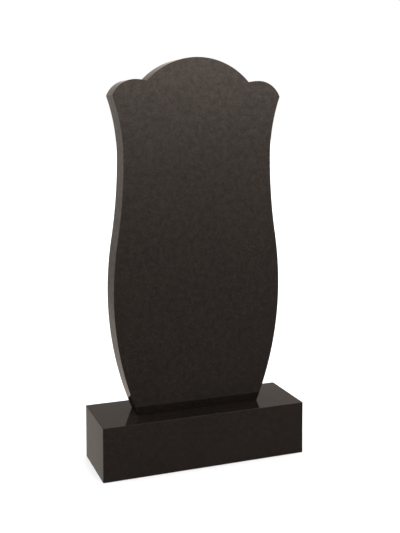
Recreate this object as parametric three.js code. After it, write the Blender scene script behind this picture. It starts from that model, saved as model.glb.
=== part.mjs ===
// A headstone of polished granite: an upright shaped slab, the stele, standing on a rectangular plinth.
// Millimetres, +Z up. The origin is the middle of the plinth's underside, and -Y is the front.

import * as THREE from 'three';

// The plinth, sawn and polished as one rectangular block.
const PLINTH_LENGTH = 600;
const PLINTH_DEPTH = 200;
const PLINTH_HEIGHT = 150;

// The stele's overall size.
const STELE_HEIGHT = 1000;
const STELE_WIDTH = 500;
const STELE_THICKNESS = 70;

// The stele's outline. It is the same on both sides, so each inset is measured in from the full width on
// one side. Heights are measured up from the foot, and drops are measured down from the apex.
const FOOT_INSET = 69;
const BELLY_HEIGHT = 342;
const WAIST_INSET = 29.5;
const WAIST_DROP = 280;
// Where the swelling belly turns into the hollow waist, as a share of the way from one to the other.
const TURN_SHARE = 0.4;
const TIP_DROP = 109;
// The lobe is the small round shoulder between the outer tip and the notch beside the central arch.
const LOBE_INSET = 65.5;
const LOBE_RISE = 45;
const NOTCH_INSET = 98;
const NOTCH_DEPTH = 4;

// Every edge is eased by a narrow 45 degree arris.
const ARRIS = 1;

// The stele stands on a thin bed joint on the plinth's top.
const BED_JOINT = 0.3;

// Each arc is drawn with twice this many straight steps.
const HALF_ARC_STEPS = 10;

const granite = new THREE.MeshStandardMaterial({ color: 0x2a2522, roughness: 0.08, metalness: 0 });

// A point of the right half of the outline: x out from the centre line, z up from the foot.
function point(inset, z) {
  return new THREE.Vector2(STELE_WIDTH / 2 - inset, z);
}

// The centre of the arc that has an upright tangent at crest and passes through other.
function centreBesideCrest(crest, other) {
  const across = other.x - crest.x;
  return new THREE.Vector2(crest.x + crest.distanceToSquared(other) / (2 * across), crest.y);
}

// The centre of the arc that has a level tangent at crest and passes through other.
function centreUnderCrest(crest, other) {
  const down = other.y - crest.y;
  return new THREE.Vector2(crest.x, crest.y + crest.distanceToSquared(other) / (2 * down));
}

// Continues the shape along the shorter arc about centre, from one point to another.
function addArc(shape, { from, to, centre }) {
  const start = from.clone().sub(centre);
  const end = to.clone().sub(centre);
  const clockwise = start.cross(end) < 0;
  shape.absarc(centre.x, centre.y, start.length(), start.angle(), end.angle(), clockwise);
}

// The same arc on the other side of the centre line, drawn the other way.
function mirrored({ from, to, centre }) {
  const flip = (p) => new THREE.Vector2(-p.x, p.y);
  return { from: flip(to), to: flip(from), centre: flip(centre) };
}

// The outline goes up the right side from the foot, over the central arch and down the left side.
function steleOutline() {
  const foot = point(FOOT_INSET, 0);
  const belly = point(0, BELLY_HEIGHT);
  const waist = point(WAIST_INSET, STELE_HEIGHT - WAIST_DROP);
  const turn = belly.clone().lerp(waist, TURN_SHARE);
  const tip = point(0, STELE_HEIGHT - TIP_DROP);
  const lobe = point(LOBE_INSET, tip.y + LOBE_RISE);
  const notch = point(NOTCH_INSET, lobe.y - NOTCH_DEPTH);
  const apex = new THREE.Vector2(0, STELE_HEIGHT);

  const side = [
    { from: foot, to: belly, centre: centreBesideCrest(belly, foot) },
    { from: belly, to: turn, centre: centreBesideCrest(belly, turn) },
    { from: turn, to: waist, centre: centreBesideCrest(waist, turn) },
    { from: waist, to: tip, centre: centreBesideCrest(waist, tip) },
    { from: tip, to: lobe, centre: centreUnderCrest(lobe, tip) },
    { from: lobe, to: notch, centre: centreUnderCrest(lobe, notch) },
    { from: notch, to: apex, centre: centreUnderCrest(apex, notch) },
  ];
  const otherSide = side.map(mirrored).reverse();

  const shape = new THREE.Shape();
  shape.moveTo(foot.x, foot.y);
  for (const arc of [...side, ...otherSide]) {
    addArc(shape, arc);
  }
  shape.closePath();
  return shape;
}

// The plinth seen from above, with its four upright edges eased.
function plinthOutline() {
  const x = PLINTH_LENGTH / 2;
  const y = PLINTH_DEPTH / 2;
  const shape = new THREE.Shape();
  shape.moveTo(x, ARRIS - y);
  shape.lineTo(x, y - ARRIS);
  shape.lineTo(x - ARRIS, y);
  shape.lineTo(ARRIS - x, y);
  shape.lineTo(-x, y - ARRIS);
  shape.lineTo(-x, ARRIS - y);
  shape.lineTo(ARRIS - x, -y);
  shape.lineTo(x - ARRIS, -y);
  shape.closePath();
  return shape;
}

// An outline given a thickness, with the arris on the edges of both faces. It lies between 0 and thickness.
function easedPlate(outline, thickness) {
  const plate = new THREE.ExtrudeGeometry(outline, {
    depth: thickness - 2 * ARRIS,
    curveSegments: HALF_ARC_STEPS,
    bevelEnabled: true,
    bevelThickness: ARRIS,
    bevelSize: ARRIS,
    bevelOffset: -ARRIS,
    bevelSegments: 1,
  });
  return plate.translate(0, 0, ARRIS);
}

function makePlinth() {
  const plinth = new THREE.Mesh(easedPlate(plinthOutline(), PLINTH_HEIGHT), granite);
  plinth.name = 'plinth';
  return plinth;
}

function makeStele() {
  const stele = new THREE.Mesh(easedPlate(steleOutline(), STELE_THICKNESS), granite);
  stele.name = 'stele';
  stele.rotation.x = Math.PI / 2;
  stele.position.set(0, STELE_THICKNESS / 2, PLINTH_HEIGHT + BED_JOINT);
  return stele;
}

const headstone = new THREE.Group();
headstone.name = 'headstone';
headstone.add(makePlinth(), makeStele());

export default headstone;
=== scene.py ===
import math

import bpy
import numpy as np
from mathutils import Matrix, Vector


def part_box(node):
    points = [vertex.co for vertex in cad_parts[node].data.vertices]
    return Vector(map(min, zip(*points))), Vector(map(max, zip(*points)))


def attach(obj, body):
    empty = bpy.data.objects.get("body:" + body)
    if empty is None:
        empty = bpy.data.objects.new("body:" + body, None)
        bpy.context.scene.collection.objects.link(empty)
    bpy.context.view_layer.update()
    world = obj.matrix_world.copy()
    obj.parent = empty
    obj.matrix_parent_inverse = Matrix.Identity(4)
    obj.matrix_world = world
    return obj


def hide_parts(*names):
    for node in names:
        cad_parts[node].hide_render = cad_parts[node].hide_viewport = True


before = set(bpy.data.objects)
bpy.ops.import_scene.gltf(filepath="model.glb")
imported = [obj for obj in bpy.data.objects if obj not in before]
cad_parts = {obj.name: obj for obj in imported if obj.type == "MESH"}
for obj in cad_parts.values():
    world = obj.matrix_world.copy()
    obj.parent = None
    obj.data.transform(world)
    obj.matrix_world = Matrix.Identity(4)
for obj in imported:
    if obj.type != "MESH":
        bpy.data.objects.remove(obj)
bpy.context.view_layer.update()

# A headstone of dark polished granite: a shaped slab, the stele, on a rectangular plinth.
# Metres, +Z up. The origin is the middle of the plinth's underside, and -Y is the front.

SCENE = bpy.context.scene

# The stele's outline. Insets are measured in from the full width on each side, heights up from the foot
# and drops down from the apex.
FOOT_INSET = 0.069
BELLY_HEIGHT = 0.342
WAIST_INSET = 0.0295
WAIST_DROP = 0.280
# Where the swelling belly turns into the hollow waist, as a share of the way from one to the other.
TURN_SHARE = 0.4
TIP_DROP = 0.109
LOBE_INSET = 0.0655
LOBE_RISE = 0.045
NOTCH_INSET = 0.098
NOTCH_DEPTH = 0.004
# The longest straight step along an arc of the outline.
OUTLINE_STEP = 0.003

# The arris between a face and the side is rounded off with a fine stone.
ARRIS = 0.0006
ARRIS_STEPS = 4
# The outline's own corners are rounded a little more. A corner turns by more than CORNER_TURN.
CORNER_TURN = math.radians(15)
CORNER_EASE = 0.0015
CORNER_STEPS = 6
# A narrow strip beside each rounding keeps its soft shading off the flat faces.
SHADING_STRIP = 0.0005
# A face is an underside where its normal points down at least this much.
DOWNWARD = -0.999

# The stone's colours: its dark ground minerals, its brown-grey feldspar and a few paler crystals.
PYROXENE = (0.0042, 0.0032, 0.0026, 1)
FELDSPAR = (0.0080, 0.0061, 0.0049, 1)
PALE_CRYSTAL = (0.0150, 0.0125, 0.0107, 1)
# The same three as they look where the saw left them dull.
SAWN_PYROXENE = (0.05, 0.046, 0.043, 1)
SAWN_FELDSPAR = (0.09, 0.083, 0.077, 1)
SAWN_PALE_CRYSTAL = (0.17, 0.16, 0.15, 1)

# The crystals themselves, the clumps that crystals of a kind gather in, and the stone's broader drifts
# and clouds.
CRYSTAL_SIZE = 0.0012
CLUMP_SIZE = 0.006
DRIFT_SIZE = 0.017
CLOUD_SIZE = 0.12
# The noise that bends the crystals' borders, in crystals: how broad its bumps are and how far it shifts.
WANDER_SIZE = 0.8
WANDER_REACH = 1.2
# The part of a noise's range that its patches spread over.
PATCH_RANGE = (0.3, 0.7)
# How much its own chance and its clump count in a crystal's kind, and where the kinds change over.
KIND_WEIGHTS = (0.8, 0.2)
FELDSPAR_KINDS = (0.25, 0.70)
PALE_KINDS = (0.86, 0.90)
# How much clump, drift and cloud lighten the stone over its darkest shade.
SHADE_WEIGHTS = (0.15, 0.15, 0.15)
DARKEST_SHADE = 0.75
# How much a crystal's own chance, its clump and its drift count in how it shines.
LUSTRE_WEIGHTS = (0.2, 0.3, 0.5)
# How high clumps, drifts and grain stand against one another. It follows their breadth, so that they are
# about equally steep.
RELIEF_HEIGHTS = (CLUMP_SIZE, DRIFT_SIZE, 2 * CRYSTAL_SIZE)

# The polish is the smoothed stone and a coat over it. The softest crystals keep the most roughness.
SOFT_ROUGHNESS = 0.07
HARD_ROUGHNESS = 0.03
POLISH_RELIEF = 0.0005
STONE_IOR = 1.43
COAT_ROUGHNESS = 0.04
COAT_IOR = 1.5
MEAN_COAT = 0.3
# How far the coat differs between the dullest and the brightest places of a piece.
PLINTH_COAT_SPREAD = 0.15
STELE_COAT_SPREAD = 0.54

# The sawn finish: its saw lines, and how tall the crystals' relief is against them.
SAWN_ROUGHNESS = 0.6
SAWN_IOR = 1.5
SAW_LINE_SCALE = 120.0
SAW_LINE_WANDER = 1.5
SAW_LINE_DETAIL = 2.0
SAWN_CRYSTAL_SHARE = 40.0
SAWN_RELIEF = 0.0002

# The camera stands where the photograph was taken from, has half of the photograph's shift and looks down
# by the rest. Its focus is in pixels of a picture of this height, and its shift is a share of that height.
CAMERA_PLACE = (-0.8395, -2.2553, 0.9844)
CAMERA_YAW = math.radians(20.769)
CAMERA_PITCH = math.radians(-4.026)
CAMERA_FOCUS = 844.3
CAMERA_SHIFT = -0.17
IMAGE_HEIGHT = 533
SENSOR_WIDTH = 36

# The floor is slightly cool, so that the soft shadow on it comes out neutral.
FLOOR_SIZE = 60.0
FLOOR_COLOUR = (0.59, 0.62, 0.65, 1)

OVERHEAD_PLACE = (0, 0, 4)
OVERHEAD_ANGLE = math.radians(80)
OVERHEAD_ENERGY = 5.3

# The studio is laid out in degrees. Azimuth is 0 straight behind the stone, 90 on the right as seen from the
# front and -90 on the left, and elevation is 0 at the horizon. A pair of angles is where a change starts and
# ends, or the middle and the width of a soft spot.
# In front there is an even level, and a bright band that falls off downwards and ends more quickly upwards.
FRONT_LEVEL = 0.151
BAND_LEVEL = 0.86
BAND_TOP = 9.0
BAND_FALL = 7.0
BAND_END = (5.0, 17.0)
# Behind there is a wall that grows lighter upwards and is dimmer above its edge.
WALL_RISE = (-9.5, 9.0)
WALL_LOW_LEVEL = 0.256
WALL_HIGH_LEVEL = 0.385
WALL_EDGE = (16.5, 18.1)
WALL_TOP_SHARE = 0.67
# A dark ceiling over the wall, this high straight behind, rising to the right and fading out at its sides.
CEILING_HEIGHT = 18.7
CEILING_SLOPE = 0.25
CEILING_EDGE = (-2.0, 2.5)
CEILING_SIDES = (24.0, 40.0)
CEILING_SHADE = 0.93
# A darker gap in the wall, a soft spot that the plinth's top shows by way of the stele's side.
GAP_AZIMUTH = (-27.0, 6.0)
GAP_ELEVATION = (5.0, 9.0)
GAP_SHADE = 0.7
# A pale sweep along the foot of the wall. It starts on the left, ends upwards and is lighter in the middle.
SWEEP_LEFT = (-16.5, -11.5)
SWEEP_TOP = (-10.0, 6.0)
SWEEP_LEVEL = 0.10
SWEEP_MIDDLE = (0.0, 9.0)
SWEEP_MIDDLE_LEVEL = 0.05
# The lights on the wall are soft spots: level, azimuth and elevation.
WALL_LIGHTS = (
    (0.62, (28.0, 24.0), (4.0, 7.5)),
    (0.75, (2.0, 9.0), (0.0, 7.5)),
)
# The front gives way to the back between these shares of the direction towards the back.
FRONT_TO_BACK = (-0.2, 0.2)
# Large soft lights for the stone's right, left and back: level, the azimuths between which each comes up,
# the azimuths between which it goes down, and the middle and width of its elevation.
SIDE_LIGHTS = (
    (1.3, (30.0, 52.0), (100.0, 130.0), (5.0, 32.0)),
    (0.65, (-165.0, -140.0), (-115.0, -60.0), (5.0, 27.0)),
    (0.6, (-90.0, -65.0), (-45.0, -27.0), (-4.0, 13.0)),
)
# It is light overhead, and from lower down on both sides, where the level direction is mostly sideways.
OVERHEAD_RISE = (28.0, 55.0)
OVERHEAD_LEVEL = 0.8
ASIDE_SHARES = (0.45, 0.75)
ASIDE_RISE = (5.0, 22.0)
ASIDE_LEVEL = 0.35
# The light is a little warm.
FRONT_TINT = (1.15, 0.98, 0.87, 1)
BACK_TINT = (1.11, 0.985, 0.885, 1)


def point(x, z):
    return np.array((x, z), float)


def unit(vectors):
    return vectors / np.linalg.norm(vectors, axis=-1, keepdims=True)


def centre_beside_crest(crest, other):
    """Centre of the arc that is upright at crest and passes through other. It is level with the crest, and
    as far from it as the squared distance between the points over twice their distance across."""
    across = other[0] - crest[0]
    return point(crest[0] + np.sum((other - crest) ** 2) / (2 * across), crest[1])


def centre_under_crest(crest, other):
    """Centre of the arc that is level at crest and passes through other. It is in line with the crest, and
    as far from it as the squared distance between the points over twice their difference in height."""
    drop = other[1] - crest[1]
    return point(crest[0], crest[1] + np.sum((other - crest) ** 2) / (2 * drop))


def arc(start, end, centre):
    """Points of the shorter arc: the centre plus the radius times the cosine and sine of an angle that turns
    evenly from the start to the end. The end itself is left to the next arc."""
    first, last = start - centre, end - centre
    radius = np.hypot(*first)
    turn = math.atan2(first[0] * last[1] - first[1] * last[0], first @ last)
    steps = math.ceil(abs(turn) * radius / OUTLINE_STEP)
    angles = math.atan2(first[1], first[0]) + turn * np.arange(steps) / steps
    return centre + radius * np.stack([np.cos(angles), np.sin(angles)], axis=1)


def stele_outline(width, height):
    """The slab seen from the front, as tangent arcs from the foot up the right side to the apex of the
    central arch, and the same points mirrored back down the left side."""
    foot = point(width / 2 - FOOT_INSET, 0)
    belly = point(width / 2, BELLY_HEIGHT)
    waist = point(width / 2 - WAIST_INSET, height - WAIST_DROP)
    turn = belly + TURN_SHARE * (waist - belly)
    tip = point(width / 2, height - TIP_DROP)
    lobe = point(width / 2 - LOBE_INSET, tip[1] + LOBE_RISE)
    notch = point(width / 2 - NOTCH_INSET, lobe[1] - NOTCH_DEPTH)
    apex = point(0, height)
    right = np.concatenate([
        arc(foot, belly, centre_beside_crest(belly, foot)),
        arc(belly, turn, centre_beside_crest(belly, turn)),
        arc(turn, waist, centre_beside_crest(waist, turn)),
        arc(waist, tip, centre_beside_crest(waist, tip)),
        arc(tip, lobe, centre_under_crest(lobe, tip)),
        arc(lobe, notch, centre_under_crest(lobe, notch)),
        arc(notch, apex, centre_under_crest(apex, notch)),
    ])
    return np.concatenate([right, apex[None], right[::-1] * (-1, 1)])


def rectangle_outline(width, depth):
    """The four corners of a rectangle about the origin, anticlockwise."""
    return np.array([(1, -1), (1, 1), (-1, 1), (-1, -1)]) * (width / 2, depth / 2)


def eased(outline):
    """A closed outline with each corner C rounded from a point A before it to a point B after it, by the
    curve (1-s)^2 A + 2s(1-s) C + s^2 B, and with one more point on the straight at each end."""
    arriving = unit(outline - np.roll(outline, 1, axis=0))
    leaving = np.roll(arriving, -1, axis=0)
    corners = np.flatnonzero(np.sum(arriving * leaving, axis=1) < math.cos(CORNER_TURN))
    parts = np.split(outline, np.repeat(corners, 2) + np.tile((0, 1), len(corners)))
    s = np.linspace(0, 1, CORNER_STEPS + 1)[:, None]
    for number, corner in enumerate(corners):
        middle = outline[corner]
        before = middle - CORNER_EASE * arriving[corner]
        after = middle + CORNER_EASE * leaving[corner]
        bend = (1 - s) ** 2 * before + 2 * s * (1 - s) * middle + s ** 2 * after
        lead_in = before - SHADING_STRIP * arriving[corner]
        lead_out = after + SHADING_STRIP * leaving[corner]
        parts[2 * number + 1] = np.vstack([lead_in, bend, lead_out])
    return np.concatenate(parts)


def edge_profile(depth):
    """The block's edge from one face to the other, as insets and depths: a quarter round with the inset
    r(1 - sin a) and the depth r(1 - cos a) from the face, then a straight side, then the round mirrored."""
    a = np.linspace(0, math.pi / 2, ARRIS_STEPS + 1)
    inset = np.append(ARRIS * (1 - np.sin(a)), 0)
    below = np.append(ARRIS * (1 - np.cos(a)), ARRIS + SHADING_STRIP) - depth / 2
    return np.concatenate([inset, inset[::-1]]), np.concatenate([below, -below[::-1]])


def block_surface(outline, depth):
    """A block between two flat faces, as points (u, v, w) on a grid of two parameters: i goes round the
    outline and j across the edge. Point (i, j) is outline(i) - inset(j) * mitre(i) at the depth w(j), where
    the mitre is the sum of the two neighbouring side normals over one plus their product."""
    sides = np.roll(outline, -1, axis=0) - outline
    after = unit(np.stack([sides[:, 1], -sides[:, 0]], axis=1))
    before = np.roll(after, 1, axis=0)
    mitre = (after + before) / (1 + np.sum(after * before, axis=1, keepdims=True))
    inset, w = edge_profile(depth)
    uv = outline[:, None] - inset[:, None] * mitre[:, None]
    return np.concatenate([uv, np.broadcast_to(w[:, None], uv.shape[:2] + (1,))], axis=2)


def block_faces(around, across):
    """Quads between neighbouring grid points, closed round the outline, and one flat face at each end."""
    index = np.arange(around * across).reshape(around, across)
    ahead = np.roll(index, -1, axis=0)
    quads = np.stack([index[:, :-1], ahead[:, :-1], ahead[:, 1:], index[:, 1:]], axis=-1).reshape(-1, 4)
    return quads.tolist() + [index[::-1, 0].tolist(), index[:, -1].tolist()]


def stone_piece(name, grid, node, materials):
    """A mesh of the grid's points, placed as they are, that rides on the body and stands for its CAD node.
    The two flat faces are shaded flat and the edge smooth. The first material is the polish, and the second
    is for what faces straight down."""
    around, across = grid.shape[:2]
    mesh = bpy.data.meshes.new(name)
    mesh.from_pydata(grid.reshape(-1, 3).tolist(), [], block_faces(around, across))
    smooth = np.ones(len(mesh.polygons), bool)
    smooth[-2:] = False
    mesh.polygons.foreach_set("use_smooth", smooth)
    for material in materials:
        mesh.materials.append(material)
    normals = np.empty(3 * len(mesh.polygons))
    mesh.polygons.foreach_get("normal", normals)
    mesh.polygons.foreach_set("material_index", (normals[2::3] < DOWNWARD).astype(np.int32))
    mesh.update()
    piece = bpy.data.objects.new(name, mesh)
    SCENE.collection.objects.link(piece)
    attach(piece, "root")
    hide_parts(node)


def make_stele(polished, sawn):
    """The slab's outline is upright: u is across, v is up and w points to the front."""
    low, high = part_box("stele")
    width, thickness, height = high - low
    u, v, w = np.moveaxis(block_surface(eased(stele_outline(width, height)), thickness), 2, 0)
    stone_piece("stele_stone", np.stack([u, -w, v + low[2]], axis=2), "stele", (polished, sawn))


def make_plinth(polished, sawn):
    """The block's outline lies flat: u is across, v is towards the back and w is up."""
    low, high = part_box("plinth")
    width, depth, height = high - low
    u, v, w = np.moveaxis(block_surface(eased(rectangle_outline(width, depth)), height), 2, 0)
    stone_piece("plinth_stone", np.stack([u, v, w + height / 2], axis=2), "plinth", (polished, sawn))


class Nodes:
    """Short ways to add and join the nodes of one tree."""

    def __init__(self, tree):
        self.tree = tree
        tree.nodes.clear()

    def add(self, kind, inputs=None, **settings):
        """A node with its settings, and inputs given as values or as the sockets that feed them."""
        made = self.tree.nodes.new(kind)
        for name, value in settings.items():
            setattr(made, name, value)
        for key, value in (inputs or {}).items():
            if isinstance(value, bpy.types.NodeSocket):
                self.tree.links.new(value, made.inputs[key])
            else:
                made.inputs[key].default_value = value
        return made

    def math(self, operation, first, second=0.0):
        return self.add("ShaderNodeMath", {0: first, 1: second}, operation=operation).outputs[0]

    def vector_math(self, operation, given):
        return self.add("ShaderNodeVectorMath", given, operation=operation).outputs[0]

    def total(self, first, *others):
        for other in others:
            first = self.math("ADD", first, other)
        return first

    def product(self, first, *others):
        for other in others:
            first = self.math("MULTIPLY", first, other)
        return first

    def weighted(self, weights, values):
        """The sum of the values, each times its weight."""
        return self.total(*(self.product(value, weight) for weight, value in zip(weights, values)))

    def noise(self, place, size, detail):
        """Smooth noise from 0 to 1 whose bumps are about as far apart as size."""
        return self.add("ShaderNodeTexNoise", {"Vector": place, "Scale": 1 / size, "Detail": detail})

    def patches(self, place, size):
        """Soft patches of 0 and 1 that are about as far apart as size."""
        return self.step(self.noise(place, size, detail=2).outputs["Fac"], PATCH_RANGE)

    def blend(self, share, first, second, way="MIX"):
        """first where the share is 0 and second, or the two joined in the given way, where it is 1."""
        given = {0: share, 6: first, 7: second}
        return self.add("ShaderNodeMix", given, data_type="RGBA", blend_type=way).outputs[2]

    def step(self, value, change, bottom=0.0, top=1.0):
        """Goes smoothly from bottom to top as the value goes through the change, from its low to its high."""
        low, high = change
        given = {"Value": value, "From Min": low, "From Max": high, "To Min": bottom, "To Max": top}
        return self.add("ShaderNodeMapRange", given, interpolation_type="SMOOTHSTEP").outputs["Result"]

    def spot(self, angle, middle, width):
        """Soft mask about one angle: exp(-((angle - middle) / width)^2)."""
        offset = self.math("DIVIDE", self.math("SUBTRACT", angle, middle), width)
        return self.math("EXPONENT", self.product(offset, offset, -1.0))


def granite_crystals():
    """Group: interlocking crystals of three colours. Colour is the stone's own, Hardness differs from one
    crystal to the next, Lustre says how brightly a place shines, and Relief is the fine unevenness that the
    polish leaves."""
    group = bpy.data.node_groups.new("granite crystals", "ShaderNodeTree")
    socket = group.interface.new_socket
    socket("Place", in_out="INPUT", socket_type="NodeSocketVector")
    socket("Dark", in_out="INPUT", socket_type="NodeSocketColor")
    socket("Middle", in_out="INPUT", socket_type="NodeSocketColor")
    socket("Pale", in_out="INPUT", socket_type="NodeSocketColor")
    socket("Colour", in_out="OUTPUT", socket_type="NodeSocketColor")
    socket("Hardness", in_out="OUTPUT", socket_type="NodeSocketFloat")
    socket("Lustre", in_out="OUTPUT", socket_type="NodeSocketFloat")
    socket("Relief", in_out="OUTPUT", socket_type="NodeSocketFloat")
    n = Nodes(group)
    given = n.add("NodeGroupInput").outputs
    place = given["Place"]

    # The crystals' borders wander.
    wander = n.noise(place, CRYSTAL_SIZE * WANDER_SIZE, detail=1).outputs["Color"]
    centred = n.vector_math("SUBTRACT", {0: wander, 1: (0.5, 0.5, 0.5)})
    shift = n.vector_math("SCALE", {0: centred, "Scale": CRYSTAL_SIZE * WANDER_REACH})
    wandered = n.vector_math("ADD", {0: place, 1: shift})
    cells = n.add("ShaderNodeTexVoronoi", {"Vector": wandered, "Scale": 1 / CRYSTAL_SIZE})
    chance = n.add("ShaderNodeSeparateColor", {0: cells.outputs["Color"]}).outputs

    # Crystals of a kind gather in clumps, and the whole stone drifts and clouds faintly.
    clump = n.patches(place, CLUMP_SIZE)
    drift = n.patches(place, DRIFT_SIZE)
    cloud = n.patches(place, CLOUD_SIZE)
    kind = n.weighted(KIND_WEIGHTS, (chance["Red"], clump))
    stone = n.blend(n.step(kind, FELDSPAR_KINDS), given["Dark"], given["Middle"])
    stone = n.blend(n.step(kind, PALE_KINDS), stone, given["Pale"])
    shade = n.total(n.weighted(SHADE_WEIGHTS, (clump, drift, cloud)), DARKEST_SHADE)
    stone = n.blend(1.0, stone, shade, "MULTIPLY")

    # Crystals take the polish differently, one by one and clump by clump.
    lustre = n.weighted(LUSTRE_WEIGHTS, (chance["Blue"], clump, drift))

    grain = n.noise(place, CRYSTAL_SIZE, detail=1).outputs["Fac"]
    relief = n.weighted(RELIEF_HEIGHTS, (clump, drift, grain))
    results = {"Colour": stone, "Hardness": chance["Green"], "Lustre": lustre, "Relief": relief}
    n.add("NodeGroupOutput", results)
    return group


def polished_granite(crystals, name, coat_spread):
    """Mirror polish over the crystals. The coat differs from place to place by its spread about its mean."""
    material = bpy.data.materials.new(name)
    material.use_nodes = True
    n = Nodes(material.node_tree)
    given = {"Place": n.add("ShaderNodeTexCoord").outputs["Object"],
             "Dark": PYROXENE, "Middle": FELDSPAR, "Pale": PALE_CRYSTAL}
    stone = n.add("ShaderNodeGroup", given, node_tree=crystals).outputs
    roughness = n.step(stone["Hardness"], (0, 1), SOFT_ROUGHNESS, HARD_ROUGHNESS)
    bump = n.add("ShaderNodeBump", {"Strength": 1.0, "Distance": POLISH_RELIEF, "Height": stone["Relief"]})
    coat = n.total(n.product(stone["Lustre"], coat_spread), MEAN_COAT - coat_spread / 2)
    shader = n.add("ShaderNodeBsdfPrincipled", {
        "Base Color": stone["Colour"], "Roughness": roughness, "IOR": STONE_IOR, "Normal": bump.outputs[0],
        "Coat Weight": coat, "Coat Roughness": COAT_ROUGHNESS, "Coat IOR": COAT_IOR})
    n.add("ShaderNodeOutputMaterial", {"Surface": shader.outputs[0]})
    return material


def sawn_granite(crystals):
    """The undersides as they left the saw: dull, lighter, with straight fine saw lines."""
    material = bpy.data.materials.new("sawn granite")
    material.use_nodes = True
    n = Nodes(material.node_tree)
    place = n.add("ShaderNodeTexCoord").outputs["Object"]
    given = {"Place": place, "Dark": SAWN_PYROXENE, "Middle": SAWN_FELDSPAR, "Pale": SAWN_PALE_CRYSTAL}
    stone = n.add("ShaderNodeGroup", given, node_tree=crystals).outputs
    wave = {"Scale": SAW_LINE_SCALE, "Distortion": SAW_LINE_WANDER, "Detail": SAW_LINE_DETAIL}
    lines = n.add("ShaderNodeTexWave", {"Vector": place, **wave}).outputs["Fac"]
    height = n.total(n.product(stone["Relief"], SAWN_CRYSTAL_SHARE), lines)
    bump = n.add("ShaderNodeBump", {"Strength": 1.0, "Distance": SAWN_RELIEF, "Height": height})
    shader = n.add("ShaderNodeBsdfPrincipled", {
        "Base Color": stone["Colour"], "Roughness": SAWN_ROUGHNESS, "IOR": SAWN_IOR,
        "Normal": bump.outputs[0]})
    n.add("ShaderNodeOutputMaterial", {"Surface": shader.outputs[0]})
    return material


def make_camera():
    data = bpy.data.cameras.new("camera")
    data.sensor_width = SENSOR_WIDTH
    data.lens = SENSOR_WIDTH * CAMERA_FOCUS / IMAGE_HEIGHT
    data.shift_y = CAMERA_SHIFT
    camera = bpy.data.objects.new("camera", data)
    camera.location = CAMERA_PLACE
    camera.rotation_euler = (math.pi / 2 + CAMERA_PITCH, 0, -CAMERA_YAW)
    SCENE.collection.objects.link(camera)
    SCENE.camera = camera


def make_floor():
    """A plain pale sheet. It is kept out of the polished faces, which mirror the studio alone."""
    mesh = bpy.data.meshes.new("floor")
    corners = np.zeros((4, 3))
    corners[:, :2] = rectangle_outline(FLOOR_SIZE, FLOOR_SIZE)
    mesh.from_pydata(corners.tolist(), [], [(0, 1, 2, 3)])
    material = bpy.data.materials.new("pale floor")
    material.use_nodes = True
    n = Nodes(material.node_tree)
    shader = n.add("ShaderNodeBsdfDiffuse", {"Color": FLOOR_COLOUR})
    n.add("ShaderNodeOutputMaterial", {"Surface": shader.outputs[0]})
    mesh.materials.append(material)
    floor = bpy.data.objects.new("floor", mesh)
    floor.visible_glossy = False
    SCENE.collection.objects.link(floor)


def make_overhead_light():
    """Very soft light from overhead, which the polish doesn't mirror as a spot."""
    data = bpy.data.lights.new("overhead light", "SUN")
    data.angle = OVERHEAD_ANGLE
    data.energy = OVERHEAD_ENERGY
    light = bpy.data.objects.new("overhead light", data)
    light.location = OVERHEAD_PLACE
    light.visible_glossy = False
    SCENE.collection.objects.link(light)


def soft_spot(n, level, azimuth, across, elevation, up):
    """The level, fading all round from a middle that is given across and up, each with its width."""
    return n.product(n.spot(azimuth, *across), n.spot(elevation, *up), level)


def front_light(n, elevation):
    """An even level, plus a band whose light is exp(elevation / fall) up to its top, and which then ends."""
    growth = n.math("EXPONENT", n.math("DIVIDE", n.math("MINIMUM", elevation, BAND_TOP), BAND_FALL))
    return n.total(n.product(growth, n.step(elevation, BAND_END, BAND_LEVEL, 0.0)), FRONT_LEVEL)


def back_light(n, azimuth, elevation):
    """The wall, shaded by the ceiling and the gap, plus the sweep at its foot and its two lights."""
    wall = n.product(n.step(elevation, WALL_RISE, WALL_LOW_LEVEL, WALL_HIGH_LEVEL),
                     n.step(elevation, WALL_EDGE, 1.0, WALL_TOP_SHARE))
    ceiling_line = n.total(n.product(azimuth, CEILING_SLOPE), CEILING_HEIGHT)
    above = n.step(n.math("SUBTRACT", elevation, ceiling_line), CEILING_EDGE, 0.0, CEILING_SHADE)
    ceiling = n.product(n.step(n.math("ABSOLUTE", azimuth), CEILING_SIDES, 1.0, 0.0), above)
    gap = soft_spot(n, GAP_SHADE, azimuth, GAP_AZIMUTH, elevation, GAP_ELEVATION)
    shaded = n.product(wall, n.math("SUBTRACT", 1.0, ceiling), n.math("SUBTRACT", 1.0, gap))
    sweep = n.total(n.product(n.spot(azimuth, *SWEEP_MIDDLE), SWEEP_MIDDLE_LEVEL),
                    n.step(azimuth, SWEEP_LEFT, 0.0, SWEEP_LEVEL))
    sweep = n.product(sweep, n.step(elevation, SWEEP_TOP, 1.0, 0.0))
    lights = [soft_spot(n, level, azimuth, across, elevation, up) for level, across, up in WALL_LIGHTS]
    return n.total(shaded, sweep, *lights)


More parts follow.
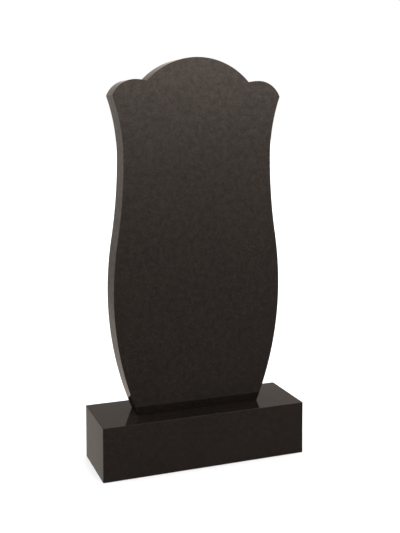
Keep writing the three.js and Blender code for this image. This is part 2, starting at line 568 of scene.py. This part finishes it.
def side_light(n, azimuth, elevation):
    """The large lights round the stone, the light overhead, and the light aside on both sides."""
    lights = [n.product(n.step(azimuth, comes_up), n.step(azimuth, goes_down, level, 0.0),
                        n.spot(elevation, *middle_up))
              for level, comes_up, goes_down, middle_up in SIDE_LIGHTS]
    overhead = n.step(elevation, OVERHEAD_RISE, 0.0, OVERHEAD_LEVEL)
    sideways = n.math("ABSOLUTE", n.math("SINE", n.math("RADIANS", azimuth)))
    aside = n.product(n.step(sideways, ASIDE_SHARES), n.step(elevation, ASIDE_RISE, 0.0, ASIDE_LEVEL))
    return n.total(*lights, overhead, aside)


def make_studio():
    """What the stone mirrors and is lit by: the front and the back light, blended into each other at the
    sides, and the side lights over both. The camera itself sees plain white."""
    world = bpy.data.worlds.new("studio")
    world.use_nodes = True
    SCENE.world = world
    n = Nodes(world.node_tree)
    outwards = n.add("ShaderNodeTexCoord").outputs["Generated"]
    direction = n.add("ShaderNodeSeparateXYZ", {0: outwards}).outputs
    elevation = n.math("DEGREES", n.math("ARCSINE", direction["Z"]))
    azimuth = n.math("DEGREES", n.math("ARCTAN2", direction["X"], direction["Y"]))
    behind = n.step(direction["Y"], FRONT_TO_BACK)
    level = n.total(n.product(front_light(n, elevation), n.math("SUBTRACT", 1.0, behind)),
                    n.product(back_light(n, azimuth, elevation), behind),
                    side_light(n, azimuth, elevation))
    tint = n.blend(behind, FRONT_TINT, BACK_TINT)
    studio = n.add("ShaderNodeBackground", {"Color": tint, "Strength": level})
    white = n.add("ShaderNodeBackground", {"Color": (1, 1, 1, 1), "Strength": 1.0})
    seen = n.add("ShaderNodeLightPath").outputs["Is Camera Ray"]
    mixed = n.add("ShaderNodeMixShader", {0: seen, 1: studio.outputs[0], 2: white.outputs[0]})
    n.add("ShaderNodeOutputWorld", {"Surface": mixed.outputs[0]})


crystals = granite_crystals()
sawn = sawn_granite(crystals)
make_plinth(polished_granite(crystals, "plinth granite", PLINTH_COAT_SPREAD), sawn)
make_stele(polished_granite(crystals, "stele granite", STELE_COAT_SPREAD), sawn)
make_camera()
make_floor()
make_overhead_light()
make_studio()
SCENE.view_settings.view_transform = "Standard"
